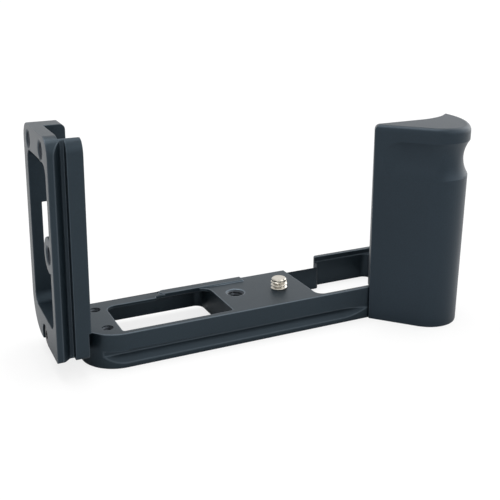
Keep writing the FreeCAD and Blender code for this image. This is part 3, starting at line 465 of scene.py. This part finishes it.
# %% The thread as a node tree
def thread_tree():
    """A tree that makes one thread from its sizes, along Z, and then puts it in place."""
    tree = bpy.data.node_groups.new("helical_thread", "GeometryNodeTree")
    inputs = dict.fromkeys(("Crest", "Root", "Back", "Pitch", "Low", "High", "Tip", "Sense", "End"), "Float")
    inputs.update(Columns="Int", Rows="Int", Place="Vector", Turn="Vector", Finish="Material")
    for name, kind in inputs.items():
        tree.interface.new_socket(name, in_out="INPUT", socket_type="NodeSocket" + kind)
    tree.interface.new_socket("Geometry", in_out="OUTPUT", socket_type="NodeSocketGeometry")
    given = add_node(tree, "NodeGroupInput").outputs
    tall = add_node(tree, MATH, {"operation": "ADD"}, {0: given["Rows"], 1: 4.0})
    grid = add_node(tree, "GeometryNodeMeshGrid", sockets={
        "Size X": 1.0, "Size Y": 1.0, "Vertices X": given["Columns"], "Vertices Y": tall.outputs[0]})
    position = add_node(tree, "GeometryNodeInputPosition")
    here = add_node(tree, "ShaderNodeSeparateXYZ", sockets={0: position.outputs[0]})
    # How far round the point lies, in turns, and in which row.
    turn = add_node(tree, MATH, {"operation": "ADD"}, {0: here.outputs["X"], 1: 0.5})
    rise = add_node(tree, MATH, {"operation": "ADD"}, {0: here.outputs["Y"], 1: 0.5})
    steps = add_node(tree, MATH, {"operation": "ADD"}, {0: given["Rows"], 1: 3.0})
    row = add_node(tree, MATH, {"operation": "MULTIPLY"}, {0: rise.outputs[0], 1: steps.outputs[0]})
    row = add_node(tree, MATH, {"operation": "ROUND"}, {0: row.outputs[0]})
    # The last rows go back to the start, along the back of the sleeve or the middle of the screw.
    middle = add_node(tree, MATH, {"operation": "ADD"}, {0: given["Rows"], 1: 1.5})
    is_back = add_node(tree, MATH, {"operation": "COMPARE"}, {0: row.outputs[0], 1: middle.outputs[0], 2: 0.75})
    goes_up = add_node(tree, MATH, {"operation": "LESS_THAN"}, {0: row.outputs[0], 1: middle.outputs[0]})
    share = add_node(tree, MATH, {"operation": "DIVIDE"}, {0: row.outputs[0], 1: given["Rows"]})
    share = add_node(tree, MATH, {"operation": "MINIMUM"}, {0: share.outputs[0], 1: 1.0})
    share = add_node(tree, MATH, {"operation": "MULTIPLY"}, {0: share.outputs[0], 1: goes_up.outputs[0]})
    length = add_node(tree, MATH, {"operation": "SUBTRACT"}, {0: given["High"], 1: given["Low"]})
    climb = add_node(tree, MATH, {"operation": "MULTIPLY"}, {0: share.outputs[0], 1: length.outputs[0]})
    level = add_node(tree, MATH, {"operation": "ADD"}, {0: climb.outputs[0], 1: given["Low"]})
    # The flanks: a triangle wave over each pitch, clipped to flats at crest and root.
    phase = add_node(tree, MATH, {"operation": "DIVIDE"}, {0: climb.outputs[0], 1: given["Pitch"]})
    phase = add_node(tree, MATH, {"operation": "SUBTRACT"}, {0: phase.outputs[0], 1: turn.outputs[0]})
    phase = add_node(tree, MATH, {"operation": "FRACT"}, {0: phase.outputs[0]})
    wave = add_node(tree, MATH, {"operation": "MULTIPLY_ADD"}, {0: phase.outputs[0], 1: 2.0, 2: -1.0})
    wave = add_node(tree, MATH, {"operation": "ABSOLUTE"}, {0: wave.outputs[0]})
    flank = add_node(tree, MATH, {"operation": "MULTIPLY_ADD", "use_clamp": True}, {
        0: wave.outputs[0], 1: -1.25, 2: 1.125})
    # A plain tip: there the flank stays halfway between crest and root.
    shoulder = add_node(tree, MATH, {"operation": "SUBTRACT"}, {0: given["High"], 1: given["Tip"]})
    is_tip = add_node(tree, MATH, {"operation": "GREATER_THAN"}, {0: level.outputs[0], 1: shoulder.outputs[0]})
    flank = add_node(tree, "ShaderNodeMix", sockets={0: is_tip.outputs[0], 2: flank.outputs[0], 3: 0.5})
    depth = add_node(tree, MATH, {"operation": "SUBTRACT"}, {0: given["Crest"], 1: given["Root"]})
    radius = add_node(tree, MATH, {"operation": "MULTIPLY_ADD"}, {
        0: flank.outputs[0], 1: depth.outputs[0], 2: given["Root"]})
    # A chamfer at the end: Sense is 1 where it makes a screw slimmer and -1 where it makes a hole wider.
    spare = add_node(tree, MATH, {"operation": "SUBTRACT"}, {0: given["High"], 1: level.outputs[0]})
    allowed = add_node(tree, MATH, {"operation": "MULTIPLY_ADD"}, {
        0: given["End"], 1: given["Sense"], 2: spare.outputs[0]})
    radius = add_node(tree, MATH, {"operation": "MULTIPLY"}, {0: radius.outputs[0], 1: given["Sense"]})
    radius = add_node(tree, MATH, {"operation": "MINIMUM"}, {0: radius.outputs[0], 1: allowed.outputs[0]})
    radius = add_node(tree, MATH, {"operation": "MULTIPLY"}, {0: radius.outputs[0], 1: given["Sense"]})
    radius = add_node(tree, "ShaderNodeMix", sockets={
        0: is_back.outputs[0], 2: radius.outputs[0], 3: given["Back"]})
    # Wrap the grid round the axis, close its seams and poles, and put the thread in its place.
    angle = add_node(tree, MATH, {"operation": "MULTIPLY"}, {0: turn.outputs[0], 1: math.tau})
    across = add_node(tree, MATH, {"operation": "COSINE"}, {0: angle.outputs[0]})
    across = add_node(tree, MATH, {"operation": "MULTIPLY"}, {0: across.outputs[0], 1: radius.outputs[0]})
    along = add_node(tree, MATH, {"operation": "SINE"}, {0: angle.outputs[0]})
    along = add_node(tree, MATH, {"operation": "MULTIPLY"}, {0: along.outputs[0], 1: radius.outputs[0]})
    point = add_node(tree, "ShaderNodeCombineXYZ", sockets={
        0: across.outputs[0], 1: along.outputs[0], 2: level.outputs[0]})
    wrapped = add_node(tree, "GeometryNodeSetPosition", sockets={
        "Geometry": grid.outputs["Mesh"], "Position": point.outputs[0]})
    closed = add_node(tree, "GeometryNodeMergeByDistance", sockets={
        "Geometry": wrapped.outputs[0], "Distance": MERGED})
    placed = add_node(tree, "GeometryNodeTransform", sockets={
        "Geometry": closed.outputs[0], "Translation": given["Place"], "Rotation": given["Turn"]})
    real = add_node(tree, "GeometryNodeRealizeInstances", sockets={"Geometry": placed.outputs[0]})
    dressed = add_node(tree, "GeometryNodeSetMaterial", sockets={
        "Geometry": real.outputs[0], "Material": given["Finish"]})
    add_node(tree, "NodeGroupOutput", sockets={"Geometry": dressed.outputs[0]})
    return tree


helical_thread = thread_tree()
print("thread tree:", len(helical_thread.nodes), "nodes")

# %% [markdown]
# ## From the tree to the pieces
# A modifier on an empty mesh runs the tree once for each thread, with that thread's sizes. The modifiers could
# stay on, but the threads have to ride the same body as the metal that they are cut in, so the results are
# joined to one plain mesh for each body.

# %% Cut the threads
# A thread's flanks meet its crests and roots at more than this angle, and there the shading stays sharp.
THREAD_CRISP = 35


def cut_threads(name, body, finish, threads):
    """One piece with all the threads of a body."""
    joined = bmesh.new()
    for sizes in threads:
        host = bpy.data.objects.new("thread_blank", bpy.data.meshes.new("thread_blank"))
        scene.collection.objects.link(host)
        maker = host.modifiers.new("thread", "NODES")
        maker.node_group = helical_thread
        for item in helical_thread.interface.items_tree:
            if item.in_out == "INPUT":
                maker[item.identifier] = finish if item.name == "Finish" else sizes[item.name]
        made = bpy.data.meshes.new_from_object(host.evaluated_get(bpy.context.evaluated_depsgraph_get()))
        joined.from_mesh(made)
        host.modifiers.remove(maker)
        bpy.data.objects.remove(host)
        bpy.data.meshes.remove(made)
    loose = [edge for edge in joined.edges if not edge.link_faces]
    bmesh.ops.delete(joined, geom=loose, context="EDGES")
    bmesh.ops.recalc_face_normals(joined, faces=joined.faces)
    for edge in joined.edges:
        edge.smooth = edge.is_manifold and edge.calc_face_angle() < math.radians(THREAD_CRISP)
    open_edges = count_open(joined)
    data = bpy.data.meshes.new(name)
    joined.to_mesh(data)
    joined.free()
    add_piece(name, data, body, finish)
    print(name, "faces", len(data.polygons), "open edges", open_edges)


# %% The threads of the tapped holes
ROWS_PER_PITCH = 12
# One column more than there are steps round, because the first and the last lie on the same line.
QUARTER_COLUMNS, FOUR_COLUMNS = 73, 49
# The sleeve's crest stays inside the wall that it stands in, and its back reaches just into the metal.
CREST_INSIDE, BACK_INTO, MOUTH_INSIDE = 0.03 * MM, 0.02 * MM, 0.01 * MM


def sleeve(hole, low, high, turn, columns):
    """The sizes of the thread in a tapped hole: low and high are levels on its own axis."""
    return {"Crest": hole["back"] - CREST_INSIDE, "Root": hole["minor"], "Back": hole["back"] + BACK_INTO,
            "Pitch": hole["pitch"], "Low": low, "High": high, "Tip": 0.0, "Sense": -1.0,
            "End": hole["back"] - MOUTH_INSIDE, "Columns": columns,
            "Rows": round((high - low) / hole["pitch"] * ROWS_PER_PITCH), "Place": hole["centre"], "Turn": turn}


UPRIGHT, INTO_SIDE = (0, 0, 0), (0, -math.pi / 2, 0)
# A sleeve ends where the hole's mouth is as wide as the opened wall. That level lies below the face, so this
# height is negative.
mouth_height = QUARTER_INCH["back"] - QUARTER_INCH["minor"] - MOUTH_DEPTH
hole_threads = [sleeve(base_holes["tripod"], 0.3 * MM, DECK + mouth_height, UPRIGHT, QUARTER_COLUMNS)]
for name in ("pad_front", "pad_rear"):
    hole_threads.append(sleeve(base_holes[name], 0.4 * MM, DECK - 0.3 * MM, UPRIGHT, FOUR_COLUMNS))
# How far in from the outer face each thread starts, in millimetres.
for name, depth in (("middle", 4.3), ("upper_front", 4.3), ("upper_rear", 11.7)):
    hole_threads.append(sleeve(side_holes[name], -depth * MM, mouth_height, INTO_SIDE, QUARTER_COLUMNS))
cut_threads("tapped_threads", "bracket", thread_finish, hole_threads)

# %% The thread of the camera screw
screw_thread = {
    "Crest": 3.17 * MM, "Root": THREAD_ROOT, "Back": 0.0, "Pitch": QUARTER_INCH["pitch"], "Low": THREAD_FOOT,
    "High": THREAD_TOP, "Tip": 1.1 * MM, "Sense": 1.0, "End": 2.45 * MM, "Columns": QUARTER_COLUMNS, "Rows": 42,
    "Place": (0, 0, 0), "Turn": UPRIGHT}
cut_threads("camera_screw_thread", "camera_screw", stainless, [screw_thread])

# %% [markdown]
# ## Studio
# The photograph was made against white, in soft light that comes mostly from above and from the right, and less
# from the front. A lamp near the object would leave the floor grey at the picture's edge, so wide suns light the
# whole floor evenly. The camera and the reflections see a pure white world, while the light that the world gives
# is weaker, so that the black faces keep their different shades.

# %% Floor and white world
scene.view_settings.view_transform = "Standard"
WORLD_LIGHT = 0.34
FLOOR_HALF = 8
FLOOR_GAP = 0.1 * MM
# The share of plain white in what the camera sees of the floor: the rest keeps the object's shadow.
FLOOR_WHITE = 0.8


def studio_world():
    """A world that the camera and reflections see as pure white, and that gives less light than it shows."""
    world = bpy.data.worlds.new("white_tent")
    world.use_nodes = True
    tree = world.node_tree
    ray = add_node(tree, "ShaderNodeLightPath")
    seen = add_node(tree, MATH, {"operation": "MAXIMUM"}, {
        0: ray.outputs["Is Camera Ray"], 1: ray.outputs["Is Glossy Ray"]})
    seen = add_node(tree, MATH, {"operation": "MAXIMUM"}, {
        0: seen.outputs[0], 1: ray.outputs["Is Transmission Ray"]})
    level = add_node(tree, "ShaderNodeMix", sockets={0: seen.outputs[0], 2: WORLD_LIGHT, 3: 1.0})
    background = tree.nodes["Background"]
    background.inputs["Color"].default_value = linear("#ffffff")
    tree.links.new(level.outputs[0], background.inputs["Strength"])
    return world


def studio_floor(height):
    """A wide white board under the object."""
    data = bpy.data.meshes.new("studio_floor")
    corners = [(-FLOOR_HALF, -FLOOR_HALF), (FLOOR_HALF, -FLOOR_HALF), (FLOOR_HALF, FLOOR_HALF),
               (-FLOOR_HALF, FLOOR_HALF)]
    data.from_pydata([(x, y, height) for x, y in corners], [], [(0, 1, 2, 3)])
    material = bpy.data.materials.new("white_matte_board")
    material.use_nodes = True
    tree = material.node_tree
    board = tree.nodes["Principled BSDF"]
    board.inputs["Base Color"].default_value = linear("#f4f4f4")
    board.inputs["Roughness"].default_value = 0.9
    board.inputs["Specular IOR Level"].default_value = 0.1
    ray = add_node(tree, "ShaderNodeLightPath")
    share = add_node(tree, MATH, {"operation": "MULTIPLY"}, {0: ray.outputs["Is Camera Ray"], 1: FLOOR_WHITE})
    white = add_node(tree, "ShaderNodeEmission", sockets={"Strength": 1.0})
    mixed = add_node(tree, "ShaderNodeMixShader", sockets={
        0: share.outputs[0], 1: board.outputs[0], 2: white.outputs[0]})
    tree.links.new(mixed.outputs[0], tree.nodes["Material Output"].inputs["Surface"])
    data.materials.append(material)
    floor = bpy.data.objects.new("studio_floor", data)
    scene.collection.objects.link(floor)
    return floor


scene.world = studio_world()
floor = studio_floor(cad_box[0][2] - FLOOR_GAP)
print("floor at", round(floor.data.vertices[0].co.z, 5))

# %% [markdown]
# ## Lamps
# The wider a lamp looks from the object, the softer its shadows and highlights are, so each sun is 40 to 60
# degrees wide. The one from above lights the deck and the top of the grip, the one from the right the side
# plate's inner face, and the weak ones at the front keep the faces towards the camera from going black.

# %% Soft suns
def soft_sun(name, strength, azimuth, elevation, spread):
    """A sun that shines from an azimuth (0 from +X, 90 from +Y) and an elevation, spread degrees wide."""
    data = bpy.data.lights.new(name, "SUN")
    data.energy = strength
    data.angle = math.radians(spread)
    lamp = bpy.data.objects.new(name, data)
    side, rise = math.radians(azimuth), math.radians(elevation)
    source = Vector((math.cos(side) * math.cos(rise), math.sin(side) * math.cos(rise), math.sin(rise)))
    lamp.rotation_mode = "QUATERNION"
    lamp.rotation_quaternion = source.to_track_quat("Z", "Y")
    scene.collection.objects.link(lamp)


soft_sun("tent_top", 2.1, 90, 78, 40)
soft_sun("tent_right", 1.8, 5, 25, 60)
soft_sun("tent_front_right", 0.9, 305, 38, 50)
soft_sun("tent_front_left", 0.35, 218, 22, 50)
soft_sun("tent_back", 0.1, 65, 22, 50)
